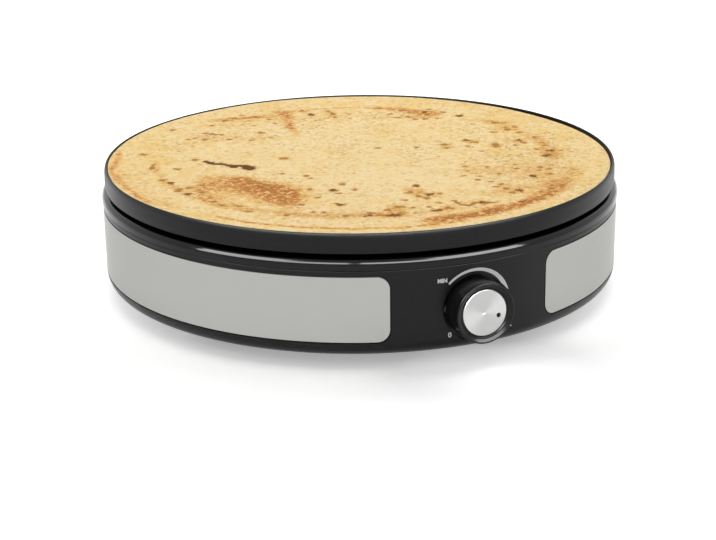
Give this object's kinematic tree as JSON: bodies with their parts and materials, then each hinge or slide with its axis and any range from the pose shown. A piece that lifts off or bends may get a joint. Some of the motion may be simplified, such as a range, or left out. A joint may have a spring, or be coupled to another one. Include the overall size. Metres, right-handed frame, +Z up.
{
  "type": "electric crepe maker",
  "caption": "Round tabletop crepe maker: fixed baking plate with a low lip on a black housing with brushed steel panels and a turning thermostat knob.",
  "frame": {"origin": "on the standing surface, in the middle of the overall box", "axes": "+Z up; the knob points along -Y at the front; +X to the right seen from the front"},
  "size_m": [0.3062, 0.3184, 0.075],
  "materials": {
    "plate_coating": "fine satin charcoal non-stick coating on cast aluminium",
    "crepe": "soft, matte, golden, with brown spots",
    "ring_black": "glossy black moulding",
    "housing_black": "satin black moulding",
    "brushed_panel": "fine brushed stainless sheet",
    "knob_black": "semi-gloss black moulding",
    "knob_silver": "spun brushed aluminium",
    "cover_black": "matt black moulding",
    "foot_rubber": "matt black rubber",
    "zinc_steel": "zinc plated steel",
    "shield_steel": "aluminised steel sheet",
    "element_steel": "heat-tinted steel sheath",
    "ceramic": "matt off-white ceramic",
    "copper": "bare copper tube",
    "brass": "plain brass",
    "lead_brown": "silicone lead insulation",
    "lead_white": "glass-fibre lead sleeve",
    "lead_blue": "silicone lead insulation",
    "lead_green": "silicone lead insulation"
  },
  "bodies": {
    "housing": {"baking_plate": "plate_coating", "heating_element": "element_steel", "element_terminals": "ceramic", "heat_shield": "shield_steel", "plate_spacers": "ceramic", "plate_screws": "zinc_steel", "housing_ring": "ring_black", "ring_screws": "zinc_steel", "housing_shell": "housing_black", "left_panel": "brushed_panel", "right_panel": "brushed_panel", "base_cover": "cover_black", "base_screws": "zinc_steel", "foot_front_left": "foot_rubber", "foot_front_right": "foot_rubber", "foot_rear_left": "foot_rubber", "foot_rear_right": "foot_rubber", "cord_gland": "cover_black", "thermostat_body": "ceramic", "thermostat_screws": "zinc_steel", "capillary_tube": "copper", "sensor_bulb": "copper", "bulb_clip": "shield_steel", "thermal_fuse": "ceramic", "fuse_clip": "shield_steel", "terminal_block": "ceramic", "earth_screw": "brass", "live_lead": "lead_brown", "load_lead": "lead_white", "neutral_lead": "lead_blue", "earth_lead": "lead_green"},
    "knob": {"knob_body": "knob_black", "knob_cap": "knob_silver", "knob_clip": "zinc_steel", "thermostat_spindle": "zinc_steel"},
    "crepe": {"crepe": "crepe"}
  },
  "joints": [
    {"name": "thermostat_knob", "type": "hinge", "parent": "housing", "child": "knob", "pos_m": [0, -0.15921, 0.0294], "axis": [0, -1, 0], "range_deg": [-14, 239]},
    {"name": "crepe_lift", "type": "slide", "parent": "housing", "child": "crepe", "axis": [0, 0, 1], "range_m": [0, 0.12]}
  ]
}
